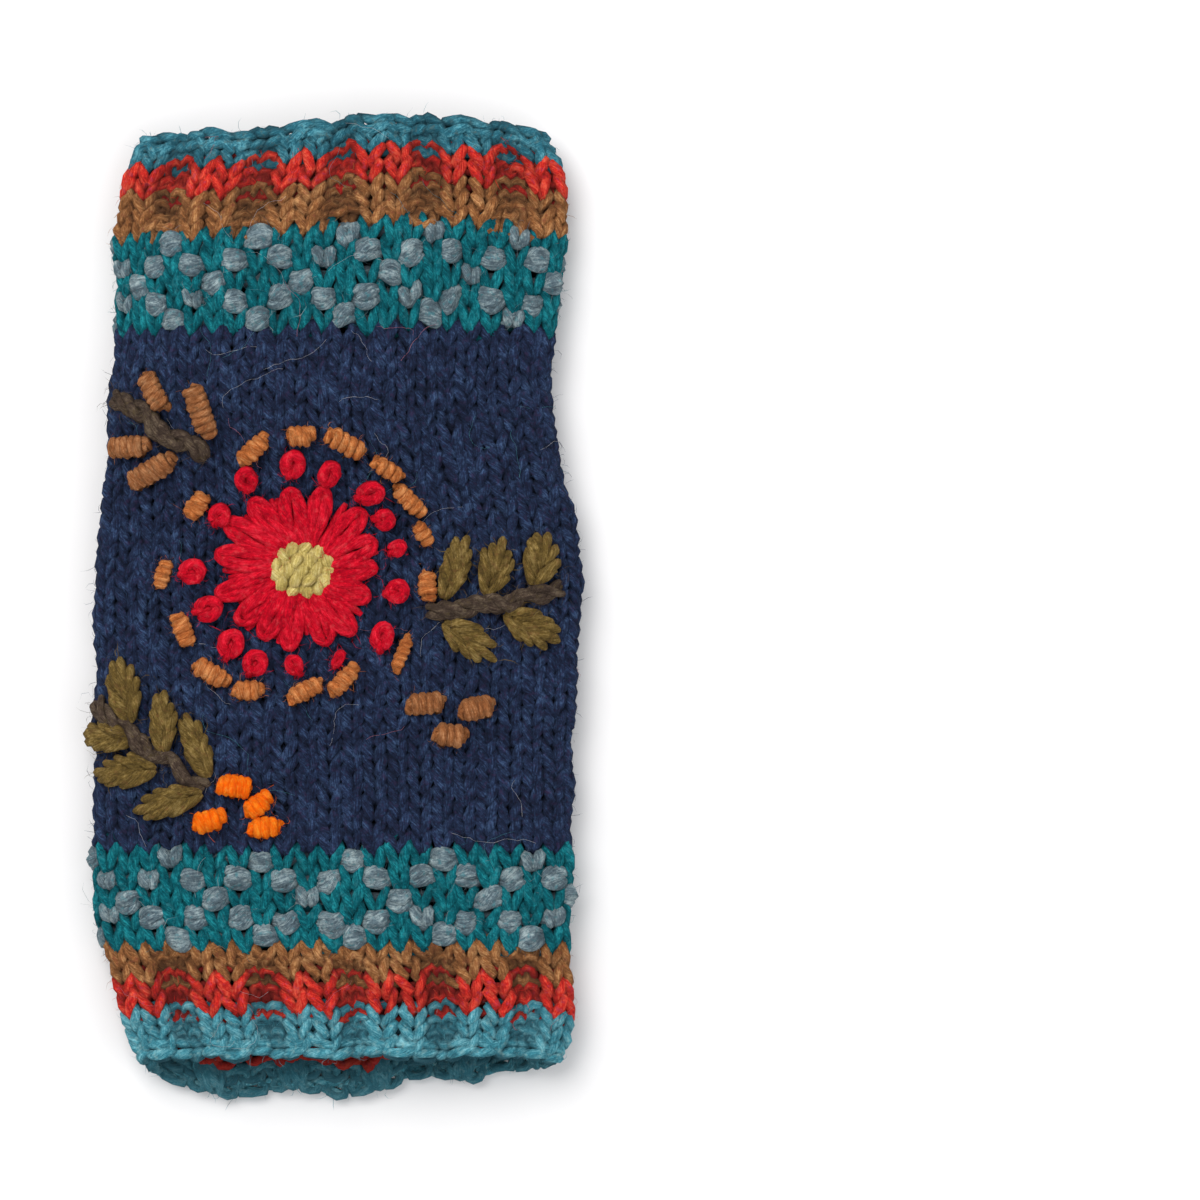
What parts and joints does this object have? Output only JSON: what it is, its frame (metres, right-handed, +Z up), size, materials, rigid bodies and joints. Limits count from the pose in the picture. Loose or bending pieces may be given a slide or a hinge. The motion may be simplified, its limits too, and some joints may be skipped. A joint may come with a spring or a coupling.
{
  "type": "fingerless mitt",
  "caption": "Hand-knitted wool fingerless mitt for the right hand, with ribbed striped cuffs, a short thumb and a flower embroidered on the back.",
  "frame": {"origin": "middle of the mitt's footprint, on the surface that it lies on, palm down", "axes": "+X to the little finger's side, +Y along the hand to the fingers, +Z up out of the embroidered back"},
  "size_m": [0.0994, 0.197, 0.0219],
  "materials": {
    "teal": "knitted wool",
    "scarlet": "knitted wool",
    "ochre": "knitted wool",
    "slate": "two-colour knitted wool",
    "navy": "heathered knitted wool",
    "crimson": "wool embroidery yarn",
    "lime": "wool embroidery yarn",
    "amber": "wool embroidery yarn",
    "orange": "wool embroidery yarn",
    "bark": "wool embroidery yarn",
    "olive": "wool embroidery yarn"
  },
  "bodies": {
    "root": {"wrist_edge_band": "teal", "wrist_red_band": "scarlet", "wrist_ochre_band": "ochre", "wrist_pattern_band": "slate", "hand_tube": "navy", "knuckle_pattern_band": "slate", "knuckle_ochre_band": "ochre", "knuckle_red_band": "scarlet", "knuckle_edge_band": "teal", "thumb_tube": "navy", "flower_petals": "crimson", "flower_seeds": "lime", "crimson_knot_1": "crimson", "crimson_knot_2": "crimson", "crimson_knot_3": "crimson", "crimson_knot_4": "crimson", "crimson_knot_5": "crimson", "crimson_knot_6": "crimson", "crimson_knot_7": "crimson", "crimson_knot_8": "crimson", "crimson_knot_9": "crimson", "crimson_knot_10": "crimson", "crimson_knot_11": "crimson", "crimson_knot_12": "crimson", "crimson_knot_13": "crimson", "crimson_knot_14": "crimson", "crimson_knot_15": "crimson", "bullion_knot_1": "amber", "bullion_knot_2": "amber", "bullion_knot_3": "amber", "bullion_knot_4": "amber", "bullion_knot_5": "amber", "bullion_knot_6": "amber", "bullion_knot_7": "amber", "bullion_knot_8": "amber", "bullion_knot_9": "amber", "bullion_knot_10": "amber", "bullion_knot_11": "amber", "bullion_knot_12": "amber", "bullion_knot_13": "amber", "bullion_knot_14": "amber", "bullion_knot_15": "amber", "sprig_knot_1": "amber", "sprig_knot_2": "amber", "sprig_knot_3": "amber", "sprig_knot_4": "amber", "ochre_knot_1": "amber", "ochre_knot_2": "amber", "ochre_knot_3": "amber", "orange_knot_1": "orange", "orange_knot_2": "orange", "orange_knot_3": "orange", "orange_knot_4": "orange", "sprig_stem": "bark", "little_finger_spray": "olive", "thumb_side_spray": "olive"}
  },
  "joints": []
}
